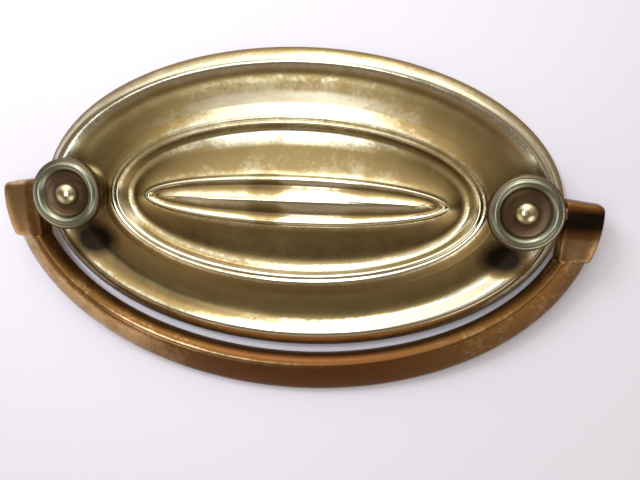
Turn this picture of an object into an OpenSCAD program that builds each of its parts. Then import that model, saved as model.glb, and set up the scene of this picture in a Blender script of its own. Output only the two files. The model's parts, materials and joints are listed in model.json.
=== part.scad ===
// Oval bail pull: a pressed brass plate, two turned posts and a swinging crescent bail.
// The plate lies on z = 0 with its front up, and the bail lies towards -Y.

/* [Plate] */
// Length of the oval plate along X
plate_l = 92; // [88:0.5:96]
// Width of the oval plate along Y
plate_w = 52.4; // [50:0.2:54]
// Thickness of the pressed sheet, measured upright
sheet_t = 0.9; // [0.7:0.05:1]
// Radius of the flat seat pressed round each post
seat_r = 3.7; // [3.5:0.1:3.9]
// Height of that seat over the back
seat_z = 2; // [1.95:0.05:2.1]

/* [Posts] */
// Distance between the two fixing holes
hole_spacing = 76.2; // [76:0.1:77]
// Radius of the post's barrel
barrel_r = 3.2; // [3:0.1:3.4]
// Height of the barrel's top over the back
barrel_z = 7.6; // [7.5:0.1:7.8]
// Radius of the tenon that passes through the plate
tenon_r = 2.6; // [2.5:0.1:2.8]
// Radius of the lip rolled over behind the plate
lip_r = 3.6; // [3.3:0.1:3.8]
// Radius of the tapped hole for an 8-32 screw, at its crests
tap_r = 1.73; // [1.65:0.01:1.8]
// Depth of the tapped hole
tap_depth = 3.5; // [3:0.1:3.6]
// Radius of the spigot that carries the rosette and the cap
spigot_r = 1.2; // [1:0.05:1.3]
// How far the spigot stands up inside the cap
spigot_grip = 0.6; // [0.5:0.05:0.8]

/* [Rosettes] */
// Outer radius of the cup rosette
rosette_r = 6.1; // [5.9:0.05:6.2]
// Height of the rosette's crest over its back
rosette_h = 2.15; // [2:0.05:2.3]
// Thickness of the rosette's floor
rosette_floor = 0.7; // [0.6:0.05:0.8]
// Radius of the domed cap in the middle
cap_r = 1.95; // [1.8:0.05:2.1]
// Height of the domed cap over the rosette's floor
cap_h = 1.95; // [1.8:0.05:2.1]

/* [Bail] */
// Half length of the bail's outer oval
bail_out_l = 51; // [50.5:0.1:51.5]
// Drop of the bail's outer oval below the pins
bail_out_w = 35; // [34:0.1:36]
// Half length of the bail's inner oval
bail_in_l = 45.9; // [45.8:0.1:46.6]
// Drop of the bail's inner oval below the pins
bail_in_w = 27.9; // [27.6:0.1:28.4]
// Thickness of the bail bar at its crest
bar_t = 3.4; // [3:0.1:3.6]
// Thickness of the square lugs
lug_t = 3.8; // [3.6:0.1:4]
// Distance of each lug's inner face from the middle
lug_in_x = 44.4; // [44.3:0.05:44.8]
// How far the lugs reach up past the pins
lug_up = 2.3; // [1.9:0.1:2.3]
// How far the lugs reach down past the pins
lug_down = 7.8; // [7.4:0.1:8.4]

/* [Pins] */
// Height of the pin axis over the back
pin_z = 5.2; // [5.1:0.05:5.3]
// Radius of the pin
pin_r = 1.15; // [1.1:0.05:1.2]
// Radial running clearance of the pin in its post
pin_gap = 0.05; // [0.03:0.01:0.08]

/* [Hidden] */
$fn = 64;
post_x = hole_spacing / 2;

// Oval lines pressed in the sheet, from the crown out to the edge:
// [share of the half length, share of the half width, height of the front face]
oval_lines = [
    [0.485, 0.012, 3.9],  // crown of the middle boss
    [0.535, 0.092, 3.1],  // groove round the boss
    [0.563, 0.145, 3.6],  // inner ridge
    [0.591, 0.198, 2.5],  // foot of the inner ridge
    [0.626, 0.375, 1.6],  // bottom of the inner cove
    [0.650, 0.440, 1.62], // flat of the inner cove
    [0.664, 0.475, 1.9],  // inner foot of the middle ridge
    [0.688, 0.504, 2.93], // first bead of the middle ridge
    [0.702, 0.528, 2.88], // fine line between the beads
    [0.716, 0.553, 2.95], // second bead
    [0.738, 0.594, 2.45], // outer slope of the middle ridge
    [0.757, 0.630, 1.97], // its foot, just inside the posts
    [0.772, 0.655, 1.8],  // inner slope of the outer cove
    [0.815, 0.735, 1.48], // outer cove, where the posts stand
    [0.850, 0.795, 1.38], // bottom of the outer cove
    [0.884, 0.838, 1.6],  // foot of the rim
    [0.954, 0.905, 2.5],  // rim
    [0.983, 0.966, 1.7],  // shoulder of the rim
    [1, 1, sheet_t]       // edge
];
oval_steps = 60;
front_steps = 2;

function line_at(i) = oval_lines[min(max(i, 0), len(oval_lines) - 1)];
// A smooth curve through the lines: point t of the stretch that follows line i.
function curve_at(i, t) = let (a = line_at(i - 1), b = line_at(i), c = line_at(i + 1), d = line_at(i + 2))
    b + t * (c - a) / 2 + t * t * (a - 2.5 * b + 2 * c - d / 2) + t * t * t * (1.5 * (b - c) + (d - a) / 2);
function oval_ring(line, drop) = [for (k = [0 : oval_steps - 1]) let (angle = -360 * k / oval_steps)
    [line[0] * plate_l / 2 * cos(angle), line[1] * plate_w / 2 * sin(angle), line[2] - drop]];
// Joins each ring of n points to the next one, and closes both ends.
function skin(rings, n) = concat(
    [[for (k = [0 : n - 1]) k]],
    [for (r = [0 : rings - 2], k = [0 : n - 1]) let (a = r * n + k, b = r * n + (k + 1) % n) [a, a + n, b + n, b]],
    [[for (k = [n - 1 : -1 : 0]) (rings - 1) * n + k]]);

module sheet() {
    last = len(oval_lines) - 1;
    front = [for (i = [0 : last - 1], s = [0 : front_steps - 1]) curve_at(i, s / front_steps)];
    back = [for (i = [0 : last]) oval_lines[last - i]];
    rings = concat([for (line = front) oval_ring(line, 0)], [oval_ring(line_at(last), 0)],
                   [for (line = back) oval_ring(line, sheet_t)]);
    polyhedron([for (ring = rings, p = ring) p], skin(len(rings), oval_steps), convexity = 8);
}

module at_posts() {
    for (side = [-1, 1])
        translate([side * post_x, 0, 0]) children();
}

module backplate() {
    tenon_gap = 0.05;
    color([0.66, 0.57, 0.38])
    difference() {
        union() {
            sheet();
            at_posts() translate([0, 0, sheet_t]) cylinder(r = seat_r, h = seat_z - sheet_t);
        }
        at_posts() translate([0, 0, -1]) cylinder(r = tenon_r + tenon_gap, h = seat_z + 2);
    }
}

// A post turned on its own axis, with the pin's bore towards side * X.
module post(side) {
    lip_z = 0.5;
    spigot_z = barrel_z + rosette_floor + spigot_grip;
    ring_r = barrel_r + 0.1;
    ring_z = seat_z + 0.8;
    bore_start = 1.2;
    color([0.62, 0.5, 0.3])
    translate([side * post_x, 0, 0])
    difference() {
        rotate_extrude() polygon([
            [0, 0], [lip_r, 0], [lip_r, lip_z - 0.2], [tenon_r, lip_z], [tenon_r, seat_z], [ring_r, seat_z],
            [ring_r, ring_z], [barrel_r, ring_z + 0.1], [barrel_r, barrel_z - 0.3], [barrel_r - 0.3, barrel_z],
            [spigot_r, barrel_z], [spigot_r, spigot_z], [0, spigot_z]]);
        translate([0, 0, -1]) cylinder(r = tap_r, h = tap_depth + 1);
        translate([side * bore_start, 0, pin_z]) rotate([0, side * 90, 0]) cylinder(r = pin_r + pin_gap, h = barrel_r);
    }
}

module rosette(side) {
    r = rosette_r;
    h = rosette_h;
    color([0.52, 0.52, 0.44])
    translate([side * post_x, 0, barrel_z])
    difference() {
        rotate_extrude() polygon([
            [0, 0], [r - 0.5, 0], [r - 0.1, 0.35], [r, 0.8], [r - 0.05, h - 0.6], [r - 0.3, h - 0.4],
            [r - 0.6, h - 0.45], [r - 0.85, h - 0.15], [r - 1.25, h], [r - 1.65, h - 0.15], [r - 2, h - 0.55],
            [r - 2.4, h - 1.05], [r - 3, rosette_floor + 0.1], [r - 3.6, rosette_floor], [0, rosette_floor]]);
        translate([0, 0, -1]) cylinder(r = spigot_r, h = h + 2);
    }
}

module cap(side) {
    foot_h = 0.3;
    color([0.78, 0.7, 0.5])
    translate([side * post_x, 0, barrel_z + rosette_floor])
    difference() {
        rotate_extrude() polygon(concat([[0, 0], [cap_r, 0]],
            [for (angle = [0 : 10 : 90]) [cap_r * cos(angle), foot_h + (cap_h - foot_h) * sin(angle)]]));
        translate([0, 0, -1]) cylinder(r = spigot_r, h = spigot_grip + 1);
    }
}

// Turns a piece from the bail's own plane to where the bail lies on the surface behind the plate.
bar_back = bar_t * 0.47;
rest_tilt = asin((pin_z - bar_back) / (bail_out_w - 0.9)) - 0.05;
module on_bail() {
    translate([0, 0, pin_z]) rotate([rest_tilt, 0, 0]) children();
}

// Cross-section of the bar: [share of the way from the inner to the outer oval, share of bar_t]
bar_section = [[0.1, 0], [0, 0.14], [0, 0.5], [0.03, 0.74], [0.09, 0.9], [0.16, 0.98], [0.21, 1],
               [0.27, 0.97], [0.48, 0.83], [0.74, 0.6], [0.95, 0.36], [1, 0.14], [0.9, 0]];
bar_steps = 64;
bar_end = asin((lug_down - 1.2) / bail_out_w);
function bar_point(angle, p) = [
    (bail_in_l + p[0] * (bail_out_l - bail_in_l)) * cos(angle),
    (bail_in_w + p[0] * (bail_out_w - bail_in_w)) * sin(angle),
    p[1] * bar_t - bar_back];

module bar() {
    n = len(bar_section);
    points = [for (k = [0 : bar_steps], p = bar_section)
        bar_point(180 + bar_end + k * (180 - 2 * bar_end) / bar_steps, p)];
    polyhedron(points, skin(bar_steps + 1, n), convexity = 6);
}

// A lug seen from the front: its outer side follows the bail's outer oval.
function lug_outline(inset) = concat(
    [[lug_in_x + inset, -lug_down + inset], [lug_in_x + inset, lug_up - inset],
     [bail_out_l - 0.8 - inset, lug_up - 0.7 - inset], [bail_out_l + 0.1 - inset, 0.2]],
    [for (y = [-1.5 : -1.6 : -lug_down + inset]) [bail_out_l * sqrt(1 - pow(y / bail_out_w, 2)) - inset, y]],
    [[bail_out_l * sqrt(1 - pow(lug_down / bail_out_w, 2)) - inset, -lug_down + inset]]);

module lug() {
    front_bevel = 0.7;
    back_bevel = 0.5;
    slice = 0.01;
    translate([0, 0, -lug_t / 2])
    hull() {
        linear_extrude(slice) polygon(lug_outline(back_bevel));
        translate([0, 0, back_bevel]) linear_extrude(lug_t - back_bevel - front_bevel) polygon(lug_outline(0));
        translate([0, 0, lug_t - slice]) linear_extrude(slice) polygon(lug_outline(front_bevel));
    }
}

hub_r = 1.85;
hub_x = post_x + barrel_r + 0.75;
pin_in_x = post_x + 1.35;
pin_out_x = lug_in_x + 4.6;

module bail() {
    color([0.6, 0.42, 0.2])
    on_bail()
    difference() {
        union() {
            bar();
            for (side = [0, 1])
                mirror([side, 0, 0]) {
                    lug();
                    translate([hub_x, 0, 0]) rotate([0, 90, 0]) cylinder(r = hub_r, h = lug_in_x - hub_x + 0.5);
                }
        }
        for (side = [-1, 1])
            rotate([0, side * 90, 0]) cylinder(r = pin_r, h = pin_out_x);
    }
}

module pin(side) {
    color([0.7, 0.6, 0.4])
    on_bail()
    rotate([0, side * 90, 0]) translate([0, 0, pin_in_x]) cylinder(r = pin_r, h = pin_out_x - pin_in_x);
}

module post_left() { post(-1); }
module post_right() { post(1); }
module rosette_left() { rosette(-1); }
module rosette_right() { rosette(1); }
module cap_left() { cap(-1); }
module cap_right() { cap(1); }
module pin_left() { pin(-1); }
module pin_right() { pin(1); }

backplate();
post_left();
post_right();
rosette_left();
rosette_right();
cap_left();
cap_right();
bail();
pin_left();
pin_right();
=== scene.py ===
import json
import math
import bmesh
import bpy
from mathutils import Matrix, Vector, noise

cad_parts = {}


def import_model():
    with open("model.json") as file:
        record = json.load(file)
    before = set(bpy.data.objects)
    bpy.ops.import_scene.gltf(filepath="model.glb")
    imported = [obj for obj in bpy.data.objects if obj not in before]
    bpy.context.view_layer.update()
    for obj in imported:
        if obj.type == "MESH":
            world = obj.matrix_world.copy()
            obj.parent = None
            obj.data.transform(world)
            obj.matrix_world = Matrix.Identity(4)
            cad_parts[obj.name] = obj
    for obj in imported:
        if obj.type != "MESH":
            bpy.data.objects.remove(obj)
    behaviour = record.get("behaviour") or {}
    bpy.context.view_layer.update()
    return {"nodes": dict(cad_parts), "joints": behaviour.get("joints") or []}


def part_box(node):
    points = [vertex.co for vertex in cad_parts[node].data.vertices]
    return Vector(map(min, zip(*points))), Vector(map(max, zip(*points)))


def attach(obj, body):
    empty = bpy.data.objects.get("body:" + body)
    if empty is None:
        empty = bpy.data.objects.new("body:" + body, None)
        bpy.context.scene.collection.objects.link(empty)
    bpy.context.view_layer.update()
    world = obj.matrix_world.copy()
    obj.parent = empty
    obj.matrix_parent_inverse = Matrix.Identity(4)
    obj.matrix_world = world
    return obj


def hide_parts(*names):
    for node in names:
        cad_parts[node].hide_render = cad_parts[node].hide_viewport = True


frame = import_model()
MM = 0.001


# ---------------------------------------------------------------- places taken from the frame
def box_mm(node):
    """The lowest and the highest corner of a node's box, in millimetres."""
    low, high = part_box(node)
    return Vector(low) / MM, Vector(high) / MM


plate_high = box_mm("backplate")[1]
rosette_low, rosette_high = box_mm("rosette_right")
cap_low, cap_high = box_mm("cap_right")
swing = frame["joints"][0]
HALF_L = plate_high.x
HALF_W = plate_high.y
POST_X = (rosette_low.x + rosette_high.x) / 2
ROSETTE_R = (rosette_high.x - rosette_low.x) / 2
ROSETTE_Z = rosette_low.z
CAP_R = (cap_high.x - cap_low.x) / 2
CAP_Z = cap_low.z
CAP_TOP = cap_high.z
PIN_Z = swing["pos_m"][2] / MM
SIDES = {"left": -1, "right": 1}

# The pressed sheet, its flat seats under the posts and the level that its crown starts at,
# in millimetres, as in the CAD model
SHEET_T = 0.9
SEAT_R = 3.7
SEAT_Z = 2.0
SEAT_BLEND = 1.1
CROWN_Z = 3.7

# The posts
TENON_R = 2.6
LIP_R = 3.6
LIP_Z = 0.5
BARREL_R = 3.2
BARREL_Z = ROSETTE_Z
COLLAR_R = BARREL_R + 0.35
COLLAR_Z = SEAT_Z + 0.8
SPIGOT_R = 1.2
SPIGOT_Z = BARREL_Z + 1.2
TAP_R = 1.73
TAP_DEPTH = 3.5
THREAD_PITCH = 0.79
THREAD_CUT = 0.28
PIN_R = 1.15

# The bail: half the length and the width of its ovals, with the outer one 0.1 inside the CAD model's
BAIL_OUT_L = 50.9
BAIL_OUT_W = 34.9
BAIL_IN_L = 45.9
BAIL_IN_W = 27.9
BAR_T = 3.4
BAR_BACK = BAR_T * 0.47
BAR_END_Y = 9.7
LUG_T = 3.8
LUG_IN_X = 44.4
LUG_FOOT_Y = -7.85
HUB_R = 1.85
HUB_IN_X = POST_X + BARREL_R + 0.75
HUB_OUT_X = LUG_IN_X + 0.5

# The tilt that would put the bar's back on the surface behind the plate, less 0.05 degrees
REST_TILT = math.asin((PIN_Z - BAR_BACK) / (BAIL_OUT_W - 0.9)) - math.radians(0.05)

# Wear values, from about 0 in a dull hollow to 1 on a rubbed crest
PLAIN_WEAR = 0.5
EDGE_WEAR = 0.6
BACK_WEAR = 0.15
SEAT_WEAR = 0.35
CAP_RIM_WEAR = 0.3

# Painted shadow and painted dark reflection of the rosettes on the plate, just below the posts
SHADE_PATCH_X, SHADE_PATCH_Y, SHADE_PATCH_R = 36.6, 8.6, 4.1
SHADE_PATCH_STRETCH = 1.35

# Oval lines pressed in the sheet, from the crown out to the edge:
# share of the half length, share of the half width, height of the front face
OVAL_LINES = [
    (0.485, 0.012, 3.9),
    (0.535, 0.092, 3.1),
    (0.563, 0.145, 3.6),
    (0.591, 0.198, 2.5),
    (0.626, 0.375, 1.6),
    (0.650, 0.440, 1.62),
    (0.664, 0.475, 1.9),
    (0.688, 0.504, 2.93),
    (0.702, 0.528, 2.88),
    (0.716, 0.553, 2.95),
    (0.738, 0.594, 2.45),
    (0.757, 0.630, 1.97),
    (0.772, 0.655, 1.8),
    (0.815, 0.735, 1.48),
    (0.850, 0.795, 1.38),
    (0.884, 0.838, 1.6),
    (0.954, 0.905, 2.5),
    (0.983, 0.966, 1.7),
    (1.0, 1.0, SHEET_T),
]


# ---------------------------------------------------------------- mesh helpers
def smoothstep(low, high, value):
    """0 below low, 1 above high, and an even change between them."""
    t = min(1, max(0, (value - low) / (high - low)))
    return t * t * (3 - 2 * t)


def spline_value(p, q, r, w, t):
    """The value at the share t of the way from q to r, where p comes before q and w after r."""
    bend = p - 2.5 * q + 2 * r - w / 2
    twist = 1.5 * (q - r) + (w - p) / 2
    return q + t * (r - p) / 2 + t * t * bend + t ** 3 * twist


def spline(points, steps, closed=False):
    """A smooth curve through the points, each a tuple of numbers."""
    count = len(points)
    spans = count if closed else count - 1
    out = []
    for i in range(spans):
        if closed:
            a, b, c, d = (points[(i + k) % count] for k in (-1, 0, 1, 2))
        else:
            a, b, c, d = (points[min(max(i + k, 0), count - 1)] for k in (-1, 0, 1, 2))
        for s in range(steps):
            t = s / steps
            out.append(tuple(spline_value(p, q, r, w, t) for p, q, r, w in zip(a, b, c, d)))
    if not closed:
        out.append(tuple(points[-1]))
    return out


def ring_faces(rings, n, wrap=False):
    """Quads between rings of n points each."""
    faces = []
    for r in range(rings if wrap else rings - 1):
        s = (r + 1) % rings
        for k in range(n):
            j = (k + 1) % n
            faces.append((r * n + k, s * n + k, s * n + j, r * n + j))
    return faces


def capped_faces(rings, n):
    """Quads between rings of n points each, with one face across each end ring."""
    faces = ring_faces(rings, n)
    faces.append(tuple(range(n)))
    faces.append(tuple(reversed(range((rings - 1) * n, rings * n))))
    return faces


def mesh_object(name, points_mm, faces, wear):
    """A mesh from points in millimetres, with a wear value at each point."""
    mesh = bpy.data.meshes.new(name)
    mesh.from_pydata([Vector(p) * MM for p in points_mm], [], faces)
    values = mesh.attributes.new("wear", "FLOAT", "POINT")
    values.data.foreach_set("value", wear)
    bm = bmesh.new()
    bm.from_mesh(mesh)
    bmesh.ops.remove_doubles(bm, verts=bm.verts, dist=1e-7)
    bmesh.ops.recalc_face_normals(bm, faces=bm.faces)
    bm.to_mesh(mesh)
    bm.free()
    obj = bpy.data.objects.new(name, mesh)
    bpy.context.collection.objects.link(obj)
    return obj


def shade_smooth(obj, angle):
    """Smooth shading, with the edges that turn by more than the angle in degrees kept sharp."""
    mesh = obj.data
    mesh.polygons.foreach_set("use_smooth", [True] * len(mesh.polygons))
    mesh.set_sharp_from_angle(angle=math.radians(angle))
    mesh.update()


def crest_wear(heights, reach):
    """0 in a valley to 1 on a crest, from each height against the mean of its neighbours."""
    out = []
    for i, z in enumerate(heights):
        near = heights[max(0, i - reach):i + reach + 1]
        out.append(min(1, max(0, 0.5 + (z - sum(near) / len(near)) / 0.9)))
    return out


def lathe(name, profile, at, turns, wear=None, waver=0.0):
    """Turns a closed profile of (radius, height) round the upright axis at a place.

    The wear has one value for each point of the profile, and waver roughens the surface.
    """
    points, values = [], []
    for i, (r, z) in enumerate(profile):
        for k in range(turns):
            angle = 2 * math.pi * k / turns
            x, y = r * math.cos(angle), r * math.sin(angle)
            bump = waver * noise.noise(Vector((x, y, z)) * 0.5 + Vector(at))
            swell = 1 + bump / 6
            points.append((at[0] + x * swell, at[1] + y * swell, z + bump * min(1, r)))
            values.append(wear[i] if wear else PLAIN_WEAR)
    faces = ring_faces(len(profile), turns, wrap=profile[0][0] > 0)
    return mesh_object(name, points, faces, values)


def apply_modifiers(obj):
    """Puts the result of the object's modifiers in its mesh."""
    graph = bpy.context.evaluated_depsgraph_get()
    mesh = bpy.data.meshes.new_from_object(obj.evaluated_get(graph))
    obj.modifiers.clear()
    obj.data = mesh


def cut(obj, tool):
    """Takes the tool's volume out of the object."""
    modifier = obj.modifiers.new("cut", "BOOLEAN")
    modifier.operation = "DIFFERENCE"
    modifier.object = tool
    modifier.solver = "EXACT"
    apply_modifiers(obj)
    bpy.data.objects.remove(tool)


# ---------------------------------------------------------------- materials
STAIN_SCALE = 260
SPECK_SCALE = 1560
# near-black colour of the painted shadows and painted dark reflections
PAINTED_DARK_COLOUR = (0.016, 0.011, 0.007)


def brass(name, worn, base, deep, rough, film=0.5):
    """Aged brass: bright where it is rubbed, darker in the hollows, with stains and fine pitting.

    The colours are those of rubbed metal, of metal with a patina and of grime. The pair rough is the
    roughness of rubbed and of covered metal, and film is how much of the grime's colour shows.
    """
    material = bpy.data.materials.new(name)
    material.use_nodes = True
    nodes, links = material.node_tree.nodes, material.node_tree.links
    nodes.clear()

    def node(kind, **values):
        """A new node with its inputs or its settings given by name."""
        n = nodes.new(kind)
        for key, value in values.items():
            if key in n.inputs:
                n.inputs[key].default_value = value
            else:
                setattr(n, key, value)
        return n

    def math_node(operation, a, b, clamp=False):
        """The result of a sum on two numbers or sockets, kept between 0 and 1 if it is clamped."""
        n = nodes.new("ShaderNodeMath")
        n.operation = operation
        n.use_clamp = clamp
        for socket, value in zip(n.inputs, (a, b)):
            if isinstance(value, (int, float)):
                socket.default_value = value
            else:
                links.new(value, socket)
        return n.outputs[0]

    def mix(factor, a, b):
        """Colour a where the factor is 0 and colour b where it is 1."""
        n = nodes.new("ShaderNodeMix")
        n.data_type = "RGBA"
        links.new(factor, n.inputs["Factor"])
        for key, value in (("A", a), ("B", b)):
            socket = [s for s in n.inputs if s.name == key and s.type == "RGBA"][0]
            if isinstance(value, tuple):
                socket.default_value = (*value, 1)
            else:
                links.new(value, socket)
        return [s for s in n.outputs if s.type == "RGBA"][0]

    place = node("ShaderNodeTexCoord").outputs["Object"]

    def cloud(scale, detail, roughness, distortion=0.0):
        """Uneven noise from 0 to 1."""
        n = node("ShaderNodeTexNoise", Scale=scale, Detail=detail, Roughness=roughness,
                 Distortion=distortion)
        links.new(place, n.inputs["Vector"])
        return n.outputs["Fac"]

    wear = node("ShaderNodeAttribute", attribute_name="wear").outputs["Fac"]
    stains = cloud(STAIN_SCALE, 5.0, 0.65, 0.4)
    specks = cloud(SPECK_SCALE, 3.0, 0.7)
    uneven_stains = math_node("SUBTRACT", stains, 0.5)
    uneven_specks = math_node("SUBTRACT", specks, 0.5)

    # the patina covers what isn't rubbed, broken up by the stains and the specks
    covered = math_node("MULTIPLY", math_node("SUBTRACT", 0.8, wear), 2.2)
    patina = math_node("ADD", covered, math_node("MULTIPLY", uneven_stains, 1.6))
    patina = math_node("ADD", patina, math_node("MULTIPLY", uneven_specks, 0.9), clamp=True)

    # grime lies in the hollows alone, and a wear below 0 is painted near-black for the painted
    # shadows and painted dark reflections
    hollow = math_node("SUBTRACT", math_node("SUBTRACT", 0.6, wear), 0.22)
    grime = math_node("MULTIPLY", hollow, 2.4, clamp=True)
    grime = math_node("MULTIPLY", grime, math_node("ADD", stains, 0.25), clamp=True)
    colour = mix(patina, worn, base)
    colour = mix(math_node("MULTIPLY", grime, film), colour, deep)
    colour = mix(math_node("MULTIPLY", wear, -1.1, clamp=True), colour, PAINTED_DARK_COLOUR)
    shader = node("ShaderNodeBsdfPrincipled", Metallic=1.0)
    links.new(colour, shader.inputs["Base Color"])

    smooth_rough, covered_rough = rough
    roughness = math_node("MULTIPLY", patina, covered_rough - smooth_rough)
    roughness = math_node("ADD", roughness, smooth_rough)
    roughness = math_node("ADD", roughness, math_node("MULTIPLY", uneven_specks, 0.16), clamp=True)
    links.new(roughness, shader.inputs["Roughness"])

    pits = math_node("MULTIPLY", specks, 0.5)
    pits = math_node("ADD", pits, math_node("MULTIPLY", stains, 0.8))
    bump = node("ShaderNodeBump", Strength=0.35, Distance=0.00006)
    links.new(pits, bump.inputs["Height"])
    links.new(bump.outputs["Normal"], shader.inputs["Normal"])
    out = node("ShaderNodeOutputMaterial")
    links.new(shader.outputs[0], out.inputs["Surface"])
    return material


plate_brass = brass("plate_brass", worn=(0.64, 0.60, 0.45), base=(0.285, 0.212, 0.092),
                    deep=(0.07, 0.040, 0.016), rough=(0.15, 0.38), film=0.8)
rosette_brass = brass("rosette_brass", worn=(0.23, 0.24, 0.18), base=(0.18, 0.13, 0.075),
                      deep=(0.065, 0.036, 0.022), rough=(0.3, 0.45), film=0.95)
cap_brass = brass("cap_brass", worn=(0.55, 0.50, 0.35), base=(0.34, 0.28, 0.165),
                  deep=(0.12, 0.075, 0.04), rough=(0.2, 0.38))
post_brass = brass("post_brass", worn=(0.35, 0.27, 0.14), base=(0.2, 0.14, 0.065),
                   deep=(0.07, 0.04, 0.02), rough=(0.25, 0.45))
bail_brass = brass("bail_brass", worn=(0.46, 0.32, 0.17), base=(0.15, 0.075, 0.023),
                   deep=(0.135, 0.043, 0.016), rough=(0.24, 0.42), film=0.85)
pin_brass = brass("pin_brass", worn=(0.4, 0.33, 0.2), base=(0.27, 0.21, 0.12),
                  deep=(0.11, 0.08, 0.045), rough=(0.25, 0.42))


# ---------------------------------------------------------------- backplate
def band(low, high, value):
    """1 between low and high, fading just outside them."""
    return smoothstep(low - 0.03, low, value) * (1 - smoothstep(high, high + 0.03, value))


def painted_highlights_and_shade(x, y, b):
    """Painted highlights and painted shade at a place on the plate, added to its wear; less than 0
    where the plate is painted darker.

    x and y are in millimetres, and b is the place's oval line as a share of the half width.
    """
    if b < 0.17:
        # the crown: a painted highlight right of its middle and a painted dark reflection left of it
        bright = 0.45 * (1 - smoothstep(3, 7, abs(x - 4)))
        return bright - 0.38 * (1 - smoothstep(1.5, 4, abs(x + 5)))
    # the upper half: painted highlight bands in the middle, painted shade towards the sides
    from_middle = abs(x + 2)
    upper = 0.38 * (1 - smoothstep(6, 22, from_middle)) * (band(0.57, 0.70, b) + band(0.38, 0.46, b))
    upper -= 0.24 * smoothstep(12, 28, from_middle) * (1 - smoothstep(0.84, 0.9, b))
    # the lower half: painted highlight lines on the right and at one spot on the left, painted dark
    # reflections in the hollows and painted shade on the left rim
    lower_right = smoothstep(-16, 14, x) * (1 - smoothstep(32, 37, x))
    lower = 0.7 * lower_right * (band(0.46, 0.53, b) + band(0.84, 0.92, b))
    lower += 0.4 * (1 - smoothstep(2, 6, math.hypot(x + 31, y + 3))) * band(0.46, 0.56, b)
    lower -= 0.3 * (band(0.22, 0.41, b) + band(0.585, 0.79, b))
    lower -= 0.5 * (1 - smoothstep(-24, -8, x)) * band(0.80, 0.93, b)
    return upper * smoothstep(0, 4, y) + lower * smoothstep(0, 4, -y)


def unevenness(x, y, b):
    """The pressed sheet's gentle waver in millimetres, none at its edge."""
    return 0.05 * noise.noise(Vector((x, y, 0)) * 0.22) * min(1, (1 - b) * 8)


def plate_lines():
    """Oval lines from the crown round the edge to the back, with the wear and the side of each."""
    front = spline(OVAL_LINES, 8)
    back = [(a, b, z - SHEET_T) for a, b, z in reversed(spline(OVAL_LINES, 4))]
    # the rims stand a little inside the edge between them, which makes it round
    front[-1] = (0.9984, 0.9972, SHEET_T)
    back[0] = (0.9984, 0.9972, 0.0)
    edge = [(1, 1, SHEET_T * share) for share in (0.8, 0.5, 0.2)]
    wear = crest_wear([z for _, _, z in front], 9)
    wear += [EDGE_WEAR] * len(edge) + [BACK_WEAR] * len(back)
    in_front = [True] * (len(front) + len(edge)) + [False] * len(back)
    return front + edge + back, wear, in_front


def backplate():
    """The pressed sheet, flat at the two seats, with a painted shadow and painted dark reflection
    below each post.
    """
    around = 288
    lines, wear, in_front = plate_lines()
    points, values = [], []
    for (a, b, z), line_wear, is_front in zip(lines, wear, in_front):
        seat_z = SEAT_Z if is_front and z > 0.5 * SHEET_T else SEAT_Z - SHEET_T
        for k in range(around):
            angle = 2 * math.pi * k / around
            x, y = a * HALF_L * math.cos(angle), b * HALF_W * math.sin(angle)
            from_post = math.hypot(abs(x) - POST_X, y)
            flat = min(1, max(0, (SEAT_R + SEAT_BLEND - from_post) / SEAT_BLEND))
            flat = flat * flat * (3 - 2 * flat)
            height = z + flat * (seat_z - z)
            if 0 < z < CROWN_Z:
                height += unevenness(x, y, b)
            points.append((x, y, height))
            # a painted shadow and painted dark reflection below each post, given as a wear below 0
            from_shade_patch = math.hypot((abs(x) - SHADE_PATCH_X) / SHADE_PATCH_STRETCH, y + SHADE_PATCH_Y)
            painted_shade = smoothstep(-SHADE_PATCH_R, -0.3 * SHADE_PATCH_R, -from_shade_patch)
            # the line's wear plus the painted highlights and painted shade at this place
            value = line_wear + painted_highlights_and_shade(x, y, b)
            values.append((value + flat * (SEAT_WEAR - value)) * (1 - painted_shade) - painted_shade)
    obj = mesh_object("backplate_pressed", points, capped_faces(len(lines), around), values)
    shade_smooth(obj, 60)
    return obj


plate = backplate()
plate.data.materials.append(plate_brass)
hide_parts("backplate")
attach(plate, "root")


# ---------------------------------------------------------------- posts, rosettes and caps
def post_profile():
    """The post's half outline, from the floor of its tapped hole out and up to the spigot's top."""
    thread = [(0, TAP_DEPTH + 0.6), (TAP_R - 0.1, TAP_DEPTH)]
    for k in range(int((TAP_DEPTH - 0.3) / THREAD_PITCH)):
        top = TAP_DEPTH - 0.15 - k * THREAD_PITCH
        thread += [(TAP_R, top), (TAP_R + THREAD_CUT, top - THREAD_PITCH * 0.45),
                   (TAP_R, top - THREAD_PITCH * 0.9)]
    lip = [(TAP_R, 0.02), (LIP_R - 0.15, 0.0), (LIP_R, 0.12), (LIP_R, LIP_Z - 0.2), (TENON_R, LIP_Z),
           (TENON_R, SEAT_Z)]
    collar = [(COLLAR_R - 0.1, SEAT_Z), (COLLAR_R, SEAT_Z + 0.1), (COLLAR_R, COLLAR_Z - 0.1),
              (COLLAR_R - 0.1, COLLAR_Z)]
    barrel = [(BARREL_R + 0.05, COLLAR_Z + 0.25), (BARREL_R, COLLAR_Z + 0.45),
              (BARREL_R, BARREL_Z - 0.4), (BARREL_R - 0.1, BARREL_Z - 0.1),
              (BARREL_R - 0.4, BARREL_Z)]
    spigot = [(SPIGOT_R, BARREL_Z), (SPIGOT_R, SPIGOT_Z), (0, SPIGOT_Z)]
    return thread + lip + collar + barrel + spigot


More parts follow.
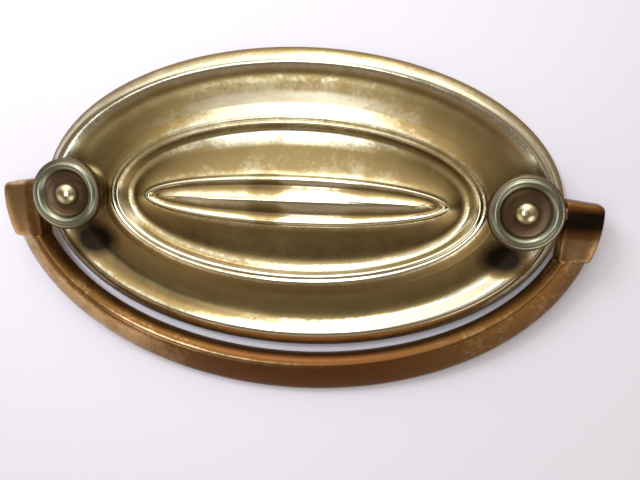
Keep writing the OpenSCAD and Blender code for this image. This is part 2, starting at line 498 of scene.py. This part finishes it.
def rosette_profile():
    """The rosette's half outline: a low middle, a rounded ring, a small step and the rim."""
    r, z, top = ROSETTE_R, ROSETTE_Z, rosette_high.z
    front = spline([(SPIGOT_R, z + 0.7), (2.5, z + 0.72), (r - 3, z + 0.85), (r - 2.45, z + 1.1),
                    (r - 2.05, top - 0.5), (r - 1.7, top - 0.14), (r - 1.3, top),
                    (r - 0.95, top - 0.14), (r - 0.66, top - 0.42), (r - 0.42, top - 0.36),
                    (r - 0.12, top - 0.6), (r, z + 0.9), (r - 0.08, z + 0.4), (r - 0.5, z)], 6)
    return front + [(SPIGOT_R, z)]


def ring_wear(radius):
    """Bright along the rosette's ring and dull inside and outside it."""
    share = radius / ROSETTE_R
    return 0.95 * smoothstep(0.56, 0.67, share) * (1 - smoothstep(0.9, 0.97, share))


def cap_profile():
    """The cap's half outline and its wear: a short upright rim, then a dome, brighter to its top."""
    rim_z = CAP_Z + 0.35
    dome = [(CAP_R * math.cos(t), rim_z + (CAP_TOP - CAP_Z - 0.35) * math.sin(t))
            for t in (math.radians(a) for a in range(0, 91, 6))]
    rim = [(0, CAP_Z), (CAP_R - 0.05, CAP_Z), (CAP_R, CAP_Z + 0.08)]
    wear = [CAP_RIM_WEAR] * len(rim) + [0.35 + 0.04 * k for k in range(len(dome))]
    return rim + dome[:-1] + [(0, CAP_TOP)], wear


for name, side in SIDES.items():
    at = (side * POST_X, 0, 0)
    post = lathe("post_turned_" + name, post_profile(), at, 96)
    bore_r = PIN_R + 0.05
    bore = lathe("bore", [(0, 0), (bore_r, 0), (bore_r, BARREL_R), (0, BARREL_R)], (0, 0, 0), 48)
    bore_start = Vector((side * (POST_X + 1.2), 0, PIN_Z)) * MM
    outward = Matrix.Rotation(side * math.pi / 2, 4, "Y")
    bore.data.transform(Matrix.Translation(bore_start) @ outward)
    cut(post, bore)
    shade_smooth(post, 35)
    post.data.materials.append(post_brass)
    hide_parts("post_" + name)
    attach(post, "root")

    profile = rosette_profile()
    rosette = lathe("rosette_cup_" + name, profile, at, 144, [ring_wear(r) for r, _ in profile], 0.03)
    shade_smooth(rosette, 50)
    rosette.data.materials.append(rosette_brass)
    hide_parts("rosette_" + name)
    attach(rosette, "root")

    profile, wear = cap_profile()
    cap = lathe("cap_domed_" + name, profile, at, 96, wear, 0.04)
    shade_smooth(cap, 50)
    cap.data.materials.append(cap_brass)
    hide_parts("cap_" + name)
    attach(cap, "root")


# ---------------------------------------------------------------- bail
# Closed sections of the bar and of the lugs: share of the way outwards, share of the thickness
BAR_SECTION = [(0.1, 0), (0, 0.14), (0, 0.5), (0.03, 0.74), (0.09, 0.9), (0.16, 0.98), (0.21, 1),
               (0.27, 0.97), (0.48, 0.83), (0.74, 0.6), (0.95, 0.36), (1, 0.14), (0.9, 0)]
LUG_SECTION = [(0.06, 0), (0, 0.05), (0, 0.5), (0, 0.8), (0.05, 0.95), (0.12, 0.99), (0.21, 1),
               (0.3, 1), (0.5, 1), (0.88, 0.985), (1, 0.78), (1, 0.08), (0.94, 0)]


def outer_x(y):
    """How far from the middle the bail's outer oval is at y."""
    return BAIL_OUT_L * math.sqrt(1 - (y / BAIL_OUT_W) ** 2)


def bail_rungs():
    """Rungs across the bail, from the left lug's top round to the right one's.

    Each has its inner and its outer point, the share of the lug's section and a share of the height.
    """
    first = math.asin(BAR_END_Y / BAIL_OUT_W)
    bar = []
    steps = 150
    for k in range(steps + 1):
        angle = math.pi + first + k * (math.pi - 2 * first) / steps
        inner = (BAIL_IN_L * math.cos(angle), BAIL_IN_W * math.sin(angle))
        outer = (BAIL_OUT_L * math.cos(angle), BAIL_OUT_W * math.sin(angle))
        bar.append((inner, outer, 0.0, 1.0))

    # the step from the bar to the lug
    lug = [((44.2, -7.88), (outer_x(-8.9), -8.9), 0.0, 1.0),
           ((44.32, -7.82), (outer_x(-8.1), -8.1), 0.15, 1.0),
           ((LUG_IN_X, -7.75), (outer_x(-7.9), -7.9), 0.85, 1.0),
           ((LUG_IN_X, -7.5), (outer_x(-7.6), -7.6), 1.0, 1.0)]
    for y in (-7, -6, -5, -4, -3, -2, -1.2, -0.6):
        lug.append(((LUG_IN_X, y), (outer_x(y), y), 1.0, 1.0))
    # the lug's rounded top
    lug += [((LUG_IN_X, 0.5), (50.9, 0.2), 1.0, 1.0),
            ((LUG_IN_X, 1.4), (50.85, 0.8), 1.0, 1.0),
            ((LUG_IN_X, 1.9), (50.65, 1.27), 1.0, 0.94),
            ((LUG_IN_X + 0.08, 2.2), (50.3, 1.52), 1.0, 0.82),
            ((LUG_IN_X + 0.25, 2.3), (50.0, 1.6), 1.0, 0.6)]
    right = bar + lug
    left = [((-a[0], a[1]), (-b[0], b[1]), m, s) for a, b, m, s in reversed(lug)]
    return left + right


def bail_wear_and_painted_light(x, y, share, height):
    """Golden at the ends and red-brown at the bottom, with painted highlights along the crest and on
    the outer side on the left.

    share goes from the inner side to the outer one, and height is a share of the section's top.
    """
    if x > LUG_IN_X - 0.5 and y > LUG_FOOT_Y:
        # the right lug's face has a painted dark reflection with a painted highlight below it
        dark_reflection = smoothstep(-3.4, -2.5, y) * (1 - smoothstep(0.2, 1.2, y))
        return 0.28 + 0.25 * (1 - smoothstep(-4.4, -3.2, y)) - 1.2 * dark_reflection
    turn_deg = math.degrees(math.atan2(y / BAIL_OUT_W, x / BAIL_OUT_L)) % 360
    bottom = smoothstep(238, 262, turn_deg) * (1 - smoothstep(286, 312, turn_deg))
    golden = 0.34 - 0.3 * bottom
    # painted highlights along the crest and on the outer bevel on the left
    crest = smoothstep(0.9, 0.97, height) * (1 - smoothstep(0.25, 0.33, share))
    painted_crest_highlight = crest * smoothstep(216, 232, turn_deg) * (1 - smoothstep(262, 300, turn_deg))
    on_left = (1 - smoothstep(222, 256, turn_deg)) * smoothstep(150, 178, turn_deg)
    painted_bevel_highlight = smoothstep(0.3, 0.45, share) * on_left
    return golden + 0.45 * painted_crest_highlight + 0.4 * painted_bevel_highlight


def bail_section(inner_y, outer_y, lug_share, height_share):
    """The control points across one rung, between the bar's section and the lug's."""
    control = []
    for (bar_u, bar_h), (lug_u, lug_h) in zip(BAR_SECTION, LUG_SECTION):
        bar_z = bar_h * BAR_T - BAR_BACK
        lug_z = lug_h * LUG_T - LUG_T / 2
        if lug_h > 0.7:
            # the lug's face is highest a little below the pin and falls off along it
            y = inner_y + (outer_y - inner_y) * lug_u
            lug_z -= 0.012 * (y + 2.6) ** 2
        u = bar_u + (lug_u - bar_u) * lug_share
        z = bar_z + (lug_z - bar_z) * lug_share
        control.append((u, z * height_share))
    return control


def bail():
    """The bar and both lugs, modelled round the pins' axis and then tilted down to their rest."""
    points, values = [], []
    rungs = bail_rungs()
    section_steps = 5
    for inner, outer, lug_share, height_share in rungs:
        control = bail_section(inner[1], outer[1], lug_share, height_share)
        ring = spline(control, section_steps, closed=True)
        top = max(z for _, z in ring)
        for u, z in ring:
            x = inner[0] + (outer[0] - inner[0]) * u
            y = inner[1] + (outer[1] - inner[1]) * u
            waver = 0.05 * noise.noise(Vector((x, y, z)) * 0.18)
            points.append((x, y, z + waver))
            values.append(bail_wear_and_painted_light(x, y, u, z / top))
    faces = capped_faces(len(rungs), len(BAR_SECTION) * section_steps)
    obj = mesh_object("bail_cast", points, faces, values)
    obj.data.transform(Matrix.Translation((0, 0, PIN_Z * MM)) @ Matrix.Rotation(REST_TILT, 4, "X"))
    shade_smooth(obj, 50)
    return obj


bail_piece = bail()
bail_piece.data.materials.append(bail_brass)
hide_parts("bail")
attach(bail_piece, "bail")

HUB_PROFILE = [(0, HUB_IN_X), (HUB_R - 0.15, HUB_IN_X), (HUB_R, HUB_IN_X + 0.15), (HUB_R, HUB_OUT_X),
               (0, HUB_OUT_X)]
for name, side in SIDES.items():
    hub = lathe("bail_hub_" + name, HUB_PROFILE, (0, 0, 0), 64)
    outward = Matrix.Rotation(side * math.pi / 2, 4, "Y")
    hub.data.transform(Matrix.Translation((0, 0, PIN_Z * MM)) @ outward)
    shade_smooth(hub, 40)
    hub.data.materials.append(bail_brass)
    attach(hub, "bail")
    pin = frame["nodes"]["pin_" + name]
    pin.data.materials.clear()
    pin.data.materials.append(pin_brass)


# ---------------------------------------------------------------- stage, light and camera
def plain(name, colour, roughness):
    """An even material that isn't metal."""
    material = bpy.data.materials.new(name)
    material.use_nodes = True
    shader = material.node_tree.nodes["Principled BSDF"]
    shader.inputs["Base Color"].default_value = (*colour, 1)
    shader.inputs["Roughness"].default_value = roughness
    return material


floor_mesh = bpy.data.meshes.new("floor")
reach = 1.5
corners = [(-reach, -reach, 0), (reach, -reach, 0), (reach, reach, 0), (-reach, reach, 0)]
floor_mesh.from_pydata(corners, [], [(0, 1, 2, 3)])
floor = bpy.data.objects.new("floor", floor_mesh)
floor.data.materials.append(plain("floor_paper", (0.58, 0.58, 0.665), 0.7))
bpy.context.collection.objects.link(floor)


def area_light(name, place, aim, size, power, colour):
    """A rectangle of light at a place, turned to its aim, with places and sizes in metres."""
    light = bpy.data.lights.new(name, "AREA")
    light.shape = "RECTANGLE"
    light.size, light.size_y = size
    light.energy = power
    light.color = colour
    obj = bpy.data.objects.new(name, light)
    obj.location = place
    obj.rotation_euler = (Vector(aim) - Vector(place)).to_track_quat("-Z", "Y").to_euler()
    bpy.context.collection.objects.link(obj)
    return obj


area_light("pale_body_above", place=(-0.016, 0.004, 0.135), aim=(-0.016, 0.004, 0),
           size=(0.038, 0.082), power=0.040, colour=(0.93, 0.97, 1.0))
area_light("pale_corner_above", place=(-0.050, 0.004, 0.135), aim=(-0.050, 0.004, 0),
           size=(0.022, 0.082), power=0.016, colour=(0.82, 0.92, 1.0))
area_light("window_behind", place=(-0.03, 0.50, 0.28), aim=(0, 0, 0),
           size=(0.14, 0.26), power=0.6, colour=(1.0, 0.99, 0.97))
key_light = area_light("key", place=(-0.12, 0.15, 0.17), aim=(0, 0, 0),
                       size=(0.10, 0.10), power=0.47, colour=(1.0, 0.98, 1.0))
key_light.visible_glossy = False

# Soft patches of light in the room: azimuth from +X, angle from straight up, half width, colour
ROOM_PATCHES = (
    (97, 60, 48, (2.2, 2.12, 1.95)),
    (48, 52, 42, (0.35, 0.32, 0.27)),
    (316, 62, 28, (2.0, 1.85, 1.7)),
    (268, 72, 34, (0.2, 0.17, 0.14)),
    (218, 72, 36, (1.15, 0.94, 0.78)),
    (60, 92, 40, (0.6, 0.57, 0.5)),
    (150, 92, 35, (0.6, 0.57, 0.5)),
)
ROOM_BASE = (0.25, 0.195, 0.145)
ROOM_DARKEST = (0.03, 0.025, 0.02)
STRIP_COLOUR = (0.55, 0.58, 0.62)


def world():
    """A pale room: a bright wall behind the pull, a strip of light overhead, darker by the viewer."""
    scene_world = bpy.data.worlds.new("room")
    bpy.context.scene.world = scene_world
    scene_world.use_nodes = True
    nodes, links = scene_world.node_tree.nodes, scene_world.node_tree.links
    nodes.clear()
    direction = nodes.new("ShaderNodeTexCoord").outputs["Generated"]

    def vector_math(operation, a, b):
        """A vector node with two vectors or sockets put in."""
        n = nodes.new("ShaderNodeVectorMath")
        n.operation = operation
        for socket, value in zip(n.inputs, (a, b)):
            if isinstance(value, tuple):
                socket.default_value = value
            else:
                links.new(value, socket)
        return n

    def smooth(value, low, high):
        """0 below low, 1 above high."""
        n = nodes.new("ShaderNodeMapRange")
        n.interpolation_type = "SMOOTHSTEP"
        n.inputs["From Min"].default_value = low
        n.inputs["From Max"].default_value = high
        links.new(value, n.inputs["Value"])
        return n.outputs["Result"]

    def scaled(colour, factor):
        """The colour times a socket's number."""
        n = vector_math("SCALE", colour, (0, 0, 0))
        links.new(factor, n.inputs["Scale"])
        return n.outputs["Vector"]

    def lobe(azimuth, polar, width, colour):
        """A soft patch of light round a direction, in degrees from +X and from straight up."""
        azimuth, polar = math.radians(azimuth), math.radians(polar)
        aim = (math.sin(polar) * math.cos(azimuth), math.sin(polar) * math.sin(azimuth),
               math.cos(polar))
        along = vector_math("DOT_PRODUCT", direction, aim).outputs["Value"]
        return scaled(colour, smooth(along, math.cos(math.radians(width)), 1.0))

    def split(vector):
        """A node with the X, Y and Z of a vector as its outputs."""
        n = nodes.new("ShaderNodeSeparateXYZ")
        links.new(vector, n.inputs[0])
        return n

    # the strip overhead, a little left of the middle, fades towards the viewer
    shifted = vector_math("ADD", direction, (0.06, 0, 0)).outputs[0]
    across = split(vector_math("ABSOLUTE", shifted, (0, 0, 0)).outputs[0]).outputs["X"]
    inverse = nodes.new("ShaderNodeMath")
    inverse.operation = "SUBTRACT"
    inverse.inputs[0].default_value = 1
    links.new(smooth(across, 0.02, 0.16), inverse.inputs[1])
    strip = scaled((1, 1, 1), inverse.outputs[0])
    strip_colour = scaled(STRIP_COLOUR, smooth(split(direction).outputs["Y"], -0.35, 0.0))
    strip = vector_math("MULTIPLY", strip, strip_colour).outputs[0]

    total = vector_math("ADD", strip, ROOM_BASE).outputs[0]
    for azimuth, polar, width, colour in ROOM_PATCHES:
        total = vector_math("ADD", total, lobe(azimuth, polar, width, colour)).outputs[0]
    total = vector_math("MAXIMUM", total, ROOM_DARKEST).outputs[0]
    background = nodes.new("ShaderNodeBackground")
    out = nodes.new("ShaderNodeOutputWorld")
    links.new(total, background.inputs["Color"])
    links.new(background.outputs[0], out.inputs["Surface"])


world()
bpy.context.scene.view_settings.view_transform = "Standard"

# The camera looks down on the pull, from a little to the upper right of its middle
camera_place = Vector((15.9, 8.3, 109.3)) * MM
camera_aim = Vector((4.93, -6.64, 3.0)) * MM
camera_roll = math.radians(1.945)
camera = bpy.data.objects.new("camera", bpy.data.cameras.new("camera"))
camera.data.lens = 34.9
camera.data.clip_start = 0.001
camera.location = camera_place
back = (camera_place - camera_aim).normalized()
right = Vector((0, 1, 0)).cross(back).normalized()
turn = Matrix((right, back.cross(right), back)).transposed() @ Matrix.Rotation(camera_roll, 3, "Z")
camera.rotation_euler = turn.to_euler()
bpy.context.collection.objects.link(camera)
bpy.context.scene.camera = camera
